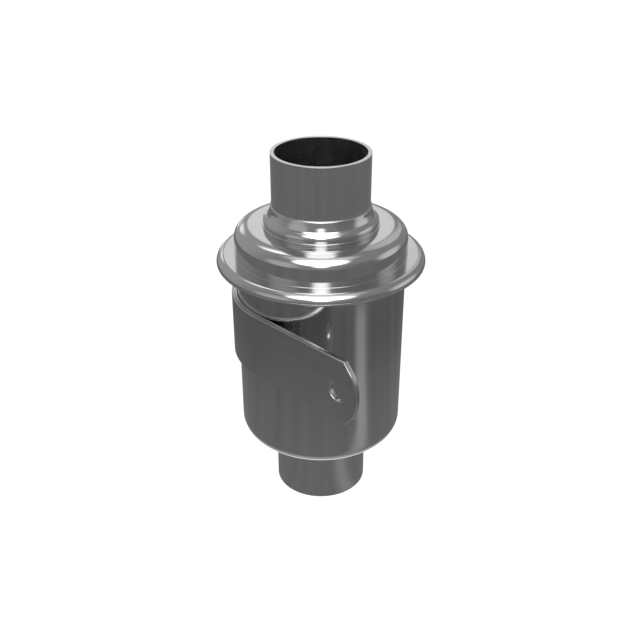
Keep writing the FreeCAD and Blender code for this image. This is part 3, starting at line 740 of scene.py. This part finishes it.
def grid_faces(rows, columns):
    """Quads between the points of rows and columns that both close on themselves."""
    faces = []
    for row in range(rows):
        here = row * columns
        there = (row + 1) % rows * columns
        for column in range(columns):
            after = (column + 1) % columns
            faces.append((here + column, here + after, there + after, there + column))
    return faces


def swept_faces(rows, columns):
    """Quads along the rows of a piece that is swept along a line, and a face over each end."""
    last_row = (rows - 1) * columns
    faces = grid_faces(rows, columns)[:last_row]
    faces.append(tuple(range(columns)))
    faces.append(tuple(range(rows * columns - 1, last_row - 1, -1)))
    return faces


def rounded(corners):
    """The points of a closed outline with rounded corners, each with its outward normal.

    A corner without a bend gets a small broken edge, and one on the axis stays as it is.
    """
    count = len(corners)
    area = 0.0
    for index in range(count):
        here, after = corners[index], corners[(index + 1) % count]
        area += here[0] * after[1] - after[0] * here[1]
    facing = 1.0 if area > 0 else -1.0
    middle_height = sum(corner[1] for corner in corners) / count
    points = []
    for index, (radius, height, bend) in enumerate(corners):
        here = Vector((radius, height))
        if radius == 0.0:
            points.append((here, Vector((0.0, math.copysign(1.0, height - middle_height)))))
            continue
        back = Vector(corners[index - 1][:2]) - here
        ahead = Vector(corners[(index + 1) % count][:2]) - here
        room = EDGE_SHARE * min(back.length, ahead.length)
        turn = math.pi - back.angle(ahead)
        start = bend * math.tan(turn / 2) if bend else min(EDGE_BREAK, room)
        back.normalize()
        ahead.normalize()
        arc_radius = start / math.tan(turn / 2)
        middle = here + (back + ahead).normalized() * arc_radius / math.cos(turn / 2)
        first = here + back * start - middle
        normal = Vector((-back.y, back.x)) * facing
        convex = 1.0 if normal.dot(first) > 0 else -1.0
        steps = max(LEAST_BEND_STEPS, math.ceil(math.degrees(turn) / BEND_STEP))
        for step in range(steps + 1):
            angle = turn * facing * convex * step / steps
            spoke = Vector((first.x * math.cos(angle) - first.y * math.sin(angle),
                            first.x * math.sin(angle) + first.y * math.cos(angle)))
            points.append((middle + spoke, spoke.normalized() * convex))
    return points


def close_on_axis(points, normals, faces, ends, sides):
    """Closes a turned piece whose outline starts and ends on the axis, with a fan at each end.

    Adds the two points on the axis, and returns the faces with the fans in place of the last strip.
    """
    count = len(points) // sides
    faces = [face for number, face in enumerate(faces) if number % count != count - 1]
    for (point, normal), column in zip(ends, (0, count - 1)):
        pole = len(points)
        points.append((0.0, 0.0, point.y))
        normals.append((0.0, 0.0, normal.y))
        for side in range(sides):
            pair = (side * count + column, (side + 1) % sides * count + column)
            faces.append((pole, *(pair if column else pair[::-1])))
    return faces


def turned(name, corners, sides=SIDES):
    """A piece turned about the Z axis from its outline. Its first and last corner may be on the axis."""
    outline = rounded(corners)
    solid = corners[0][0] == 0.0
    ring = outline[1:-1] if solid else outline
    count = len(ring)
    points = []
    normals = []
    for side in range(sides):
        angle = 2 * math.pi * side / sides
        cosine, sine = math.cos(angle), math.sin(angle)
        for point, normal in ring:
            points.append((point.x * cosine, point.x * sine, point.y))
            normals.append((normal.x * cosine, normal.x * sine, normal.y))
    faces = grid_faces(sides, count)
    if solid:
        faces = close_on_axis(points, normals, faces, (outline[0], outline[-1]), sides)
    along = Vector(points[1]) - Vector(points[0])
    around = Vector(points[count]) - Vector(points[0])
    if along.cross(around).dot(Vector(normals[0])) < 0:
        faces = [face[::-1] for face in faces]
    return mesh_piece(name, points, faces, normals)


# The casing

def make_tube(name, node, foot, top):
    """A plain length of tube with broken edges, in place of its node."""
    tube = turned(name, (
        (TUBE_BORE, foot, 0.0),
        (TUBE_SKIN, foot, 0.0),
        (TUBE_SKIN, top, 0.0),
        (TUBE_BORE, top, 0.0),
    ))
    finish_piece(tube, "casing", "tube_steel", node)


def make_neck_ring():
    """The turned ring round the upper tube: a foot, a bead, a step and a neck that narrows upwards."""
    bead, step, neck_foot = 29.8, 28.05, 27.3
    foot_top = RING_FOOT + 1.0
    ring = turned("neck_ring_turned", (
        (TUBE_SEAT, RING_FOOT, 0.0),
        (RING_SKIN, RING_FOOT, 0.0),
        (RING_SKIN, foot_top, 0.2),
        (bead, foot_top, 0.15),
        (bead, RING_FOOT + 4.2, 3.4),
        (step, RING_FOOT + 5.43, 0.12),
        (neck_foot, RING_FOOT + 6.2, 0.12),
        (26.5, RING_FOOT + 8.4, 10.0),
        (26.0, RING_TOP, 0.0),
        (TUBE_SEAT, RING_TOP, 0.0),
    ))
    finish_piece(ring, "casing", "turned_steel", "neck_ring")


def make_dome():
    """The spun dome, with its softly crowned shoulder and its rim rolled round the seam."""
    wall = 45.0
    inner_wall = wall - SHEET
    rim_top = SEAM_TOP + SHEET
    inner_rim = RIM_SKIN - SHEET
    hem_end, hem_top = 47.8, RIM_FOOT + SHEET
    dome = turned("dome_spun", (
        (TUBE_SEAT, DOME_TOP, 0.0),
        (38.4, DOME_TOP, 16.5),
        (wall, DOME_TOP - 1.83, 5.9),
        (wall, rim_top, 0.2),
        (RIM_SKIN, rim_top, 4.0),
        (RIM_SKIN, RIM_FOOT, 1.8),
        (hem_end, RIM_FOOT, 0.0),
        (hem_end, hem_top, 0.0),
        (inner_rim, hem_top, 0.8),
        (inner_rim, SEAM_TOP, 2.8),
        (inner_wall, SEAM_TOP, 1.25),
        (inner_wall, DOME_TOP - SHEET, 5.7),
        (TUBE_SEAT, DOME_TOP - SHEET, 0.0),
    ))
    finish_piece(dome, "casing", "spun_steel", "upper_shell")


def make_drum():
    """The deep drum, with its flange, its round bottom corner and its neck round the lower tube."""
    corner_bend, neck_bend, flange_bend = 8.4, 2.0, 1.2
    flange_foot = FLANGE_TOP - SHEET
    floor_top = DRUM_FOOT + SHEET
    neck_top = DRUM_FOOT + 9.0
    inner_wall = DRUM_SKIN - SHEET
    neck_skin = TUBE_SEAT + SHEET
    drum = turned("drum_spun", (
        (FLANGE_SKIN, FLANGE_TOP, 0.0),
        (FLANGE_SKIN, flange_foot, 0.0),
        (DRUM_SKIN, flange_foot, flange_bend),
        (DRUM_SKIN, DRUM_FOOT, corner_bend),
        (TUBE_SEAT, DRUM_FOOT, neck_bend),
        (TUBE_SEAT, neck_top, 0.0),
        (neck_skin, neck_top, 0.0),
        (neck_skin, floor_top, neck_bend - SHEET),
        (inner_wall, floor_top, corner_bend - SHEET),
        (inner_wall, FLANGE_TOP, flange_bend + SHEET),
    ))
    finish_piece(drum, "casing", "spun_steel", "lower_shell")


def bead(radius, level, leg, pitch, ripple, rise=1.0, start=0.0, sweep=360.0):
    """A rippled weld bead in the corner between a wall and a level: its points and faces.

    Rise is 1 for a bead on top of the level and -1 for one below it. An open bead tapers at its ends.
    """
    ripple_steps, arc_points = 6, 9
    end_size, hollow, lag, ripple_middle = 0.02, 0.16, 0.35, 0.6
    closed = sweep == 360.0
    length = math.radians(sweep) * radius
    steps = round(length / pitch) * ripple_steps
    rows = steps if closed else steps + 1
    points = []
    for row in range(rows):
        angle = math.radians(start + sweep * row / steps)
        size = 1.0
        if not closed:
            size = math.sqrt(min(1.0, end_size + min(row, steps - row) * length / steps / leg))
        for column in range(arc_points):
            turn = math.radians(90.0 * column / (arc_points - 1))
            bulge = math.sin(2 * turn)
            phase = (row / ripple_steps + lag * bulge) % 1.0
            swell = leg * size * (1.0 - hollow * bulge)
            swell += ripple * bulge * (math.sin(math.pi * phase) - ripple_middle)
            out = radius + swell * math.cos(turn)
            up = level + rise * swell * math.sin(turn)
            points.append((out * math.cos(angle), out * math.sin(angle), up))
        points.append((radius * math.cos(angle), radius * math.sin(angle), level))
    columns = arc_points + 1
    faces = grid_faces(rows, columns) if closed else swept_faces(rows, columns)
    return points, faces


def make_weld(name, node, *beads):
    """One piece of one or more weld beads, in place of its node."""
    points = []
    faces = []
    for more_points, more_faces in beads:
        start = len(points)
        points += more_points
        faces += [tuple(start + corner for corner in face) for face in more_faces]
    piece = mesh_piece(name, points, faces)
    face_outwards(piece, sharp_angle=40.0)
    finish_piece(piece, "casing", "weld_steel", node)


def make_welds():
    """The weld at each tube, and the two beads that hold the strap to the drum."""
    make_weld("upper_bead", "upper_tube_weld",
              bead(TUBE_SEAT, RING_TOP, leg=0.6, pitch=0.8, ripple=0.04))
    make_weld("lower_bead", "lower_tube_weld",
              bead(TUBE_SEAT, DRUM_FOOT - FIT_GAP, leg=2.2, pitch=1.3, ripple=0.10, rise=-1.0))
    strap_bead = {"leg": 2.5, "pitch": 1.4, "ripple": 0.12, "start": 138.0, "sweep": 34.0}
    make_weld("strap_beads", "strap_welds",
              bead(DRUM_SEAT, STRAP_TOP, **strap_bead),
              bead(DRUM_SEAT, STRAP_FOOT, rise=-1.0, **strap_bead))


def bend_strap(point):
    """Takes a point of the flat strap, along, up and outwards, to its place round the drum."""
    along, up, out = point
    across, forward = along, -(STRAP_MIDDLE + out)
    if along < 0:
        angle = along / STRAP_MIDDLE - math.pi / 2
        across = (STRAP_MIDDLE + out) * math.cos(angle)
        forward = (STRAP_MIDDLE + out) * math.sin(angle)
    cosine, sine = math.cos(STRAP_TURN), math.sin(STRAP_TURN)
    return Vector((across * cosine - forward * sine, across * sine + forward * cosine, STRAP_LEVEL + up))


def strap_outline(wrap, reach):
    """The flat strap's outline, as (along, up), with its rounded tip."""
    corner_back, tip_radius, half_tip, tip_steps = 8.0, 24.8, 12.0, 24
    half = (STRAP_TOP - STRAP_FOOT) / 2
    lean = math.asin(half_tip / tip_radius)
    outline = [(-wrap, -half), (reach - corner_back, -half)]
    for step in range(tip_steps + 1):
        angle = lean * (2 * step / tip_steps - 1)
        outline.append((reach - tip_radius + tip_radius * math.cos(angle), tip_radius * math.sin(angle)))
    outline += [(reach - corner_back, half), (-wrap, half)]
    return outline


def strap_hole(reach):
    """The outline of the strap's hole, as (along, up)."""
    hole_radius, hole_back, hole_steps = 5.25, 12.2, 64
    hole = []
    for step in range(hole_steps):
        angle = 2 * math.pi * step / hole_steps
        hole.append((reach - hole_back + hole_radius * math.cos(angle), hole_radius * math.sin(angle)))
    return hole


def strap_blank():
    """The strap laid flat, with its hole and its rounded edges, and cut finely where it will bend."""
    wrap, reach = math.radians(93.0) * STRAP_MIDDLE, 70.0
    edge_round, edge_segments, edge_angle = 0.6, 4, 60.0
    cuts = 60
    work = bmesh.new()
    for loop in (strap_outline(wrap, reach), strap_hole(reach)):
        corners = [work.verts.new((along, up, -STRAP_THICKNESS / 2)) for along, up in loop]
        for first, second in zip(corners, corners[1:] + corners[:1]):
            work.edges.new((first, second))
    bmesh.ops.triangle_fill(work, use_beauty=True, use_dissolve=False, edges=work.edges[:])
    lifted = bmesh.ops.extrude_face_region(work, geom=work.faces[:])["geom"]
    raised = [item for item in lifted if isinstance(item, bmesh.types.BMVert)]
    bmesh.ops.translate(work, verts=raised, vec=(0, 0, STRAP_THICKNESS))
    bmesh.ops.recalc_face_normals(work, faces=work.faces)
    sharp = [edge for edge in work.edges if edge.calc_face_angle() > math.radians(edge_angle)]
    bmesh.ops.bevel(work, geom=sharp, offset=edge_round, segments=edge_segments, profile=0.5,
                    affect="EDGES")
    for cut in range(cuts + 1):
        everything = work.verts[:] + work.edges[:] + work.faces[:]
        bmesh.ops.bisect_plane(work, geom=everything, dist=1e-4,
                               plane_co=(-wrap * cut / cuts, 0, 0), plane_no=(1, 0, 0))
    return work


def make_strap():
    """The strap, bent round the drum from its flat blank."""
    work = strap_blank()
    for vert in work.verts:
        vert.co = bend_strap(vert.co) * MM
    bmesh.ops.recalc_face_normals(work, faces=work.faces)
    mesh = bpy.data.meshes.new("strap_bent")
    work.to_mesh(mesh)
    work.free()
    mesh.shade_smooth()
    mesh.set_sharp_from_angle(angle=math.radians(28.0))
    strap = bpy.data.objects.new("strap_bent", mesh)
    bpy.context.scene.collection.objects.link(strap)
    even = strap.modifiers.new("even_shading", "WEIGHTED_NORMAL")
    even.keep_sharp = True
    finish_piece(strap, "casing", "strap_steel", "mounting_strap")


# The moving valve and its spring

def make_spring():
    """The closing spring: round wire in a helix, with both ends ground flat."""
    wire, turns = 0.6, 7.5
    steps, wire_sides = 420, 14
    coil = SPRING_SKIN - wire
    length = SPRING_TOP - SPRING_FOOT
    slope = math.atan2(length, 2 * math.pi * coil * turns)
    points = []
    for step in range(steps + 1):
        angle = 2 * math.pi * turns * step / steps
        height = SPRING_FOOT + length * step / steps
        for side in range(wire_sides):
            turn = 2 * math.pi * side / wire_sides
            out = coil + wire * math.cos(turn)
            slip = -wire * math.sin(turn) * math.sin(slope)
            up = height + wire * math.sin(turn) * math.cos(slope)
            points.append((out * math.cos(angle) - slip * math.sin(angle),
                           out * math.sin(angle) + slip * math.cos(angle),
                           min(SPRING_TOP, max(SPRING_FOOT, up))))
    spring = mesh_piece("closing_spring", points, swept_faces(steps + 1, wire_sides))
    face_outwards(spring, sharp_angle=50.0)
    finish_piece(spring, "casing", "spring_steel", "return_spring")
    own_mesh(spring)


def make_stem():
    """The valve's stem, with a collar, a seat for the nut and a slimmer tip for its thread."""
    shank, nut_seat, tip = 5.0, 4.0, 3.35
    collar_foot = COLLAR_TOP - 2.5
    seat_top, tip_foot = 147.5, 148.2
    stem = turned("stem_turned", (
        (0.0, STEM_FOOT, 0.0),
        (shank, STEM_FOOT, 0.6),
        (shank, collar_foot, 0.0),
        (COLLAR_SKIN, collar_foot, 0.3),
        (COLLAR_SKIN, COLLAR_TOP, 0.0),
        (nut_seat, COLLAR_TOP, 0.0),
        (nut_seat, seat_top, 0.0),
        (tip, tip_foot, 0.0),
        (tip, STEM_TOP, 0.5),
        (0.0, STEM_TOP, 0.0),
    ), SLIM_SIDES)
    finish_piece(stem, "valve", "turned_steel", "valve_stem")


def make_stem_thread():
    """The thread cut where the stem stands out of the nut. It fades out at its upper end."""
    pitch, foot, top = 1.25, 147.6, 151.2
    root, crest, half_root, half_crest = 3.3, 3.97, 0.56, 0.09
    least_depth, fade = 0.1, 3.0
    turn_steps = 48
    rows = round((top - foot) / pitch * turn_steps)
    section = ((root, -half_root), (crest, -half_crest), (crest, half_crest), (root, half_root))
    points = []
    for row in range(rows + 1):
        angle = 2 * math.pi * row / turn_steps
        depth = min(1.0, least_depth + fade * (rows - row) / turn_steps)
        for out, up in section:
            reach = root + (out - root) * depth
            height = foot + pitch * row / turn_steps + up * depth
            points.append((reach * math.cos(angle), reach * math.sin(angle), height))
    thread = mesh_piece("stem_thread", points, swept_faces(rows + 1, len(section)))
    face_outwards(thread, sharp_angle=30.0)
    finish_piece(thread, "valve", "turned_steel")


# Everything together

def finish_nodes():
    """Gives each CAD node that still shows the finish of its material slot."""
    for part in frame["record"]["subparts"]:
        node = frame["nodes"][part["node"]]
        if not node.hide_render:
            node.data.materials.clear()
            node.data.materials.append(FINISHES[part["material_slot"]])


build_studio()
make_tube("upper_tube_drawn", "upper_tube", UPPER_TUBE_FOOT, UPPER_TUBE_TOP)
make_tube("lower_tube_drawn", "lower_tube", GROUND, LOWER_TUBE_TOP)
make_neck_ring()
make_dome()
make_drum()
make_welds()
make_strap()
make_spring()
make_stem()
make_stem_thread()
finish_nodes()
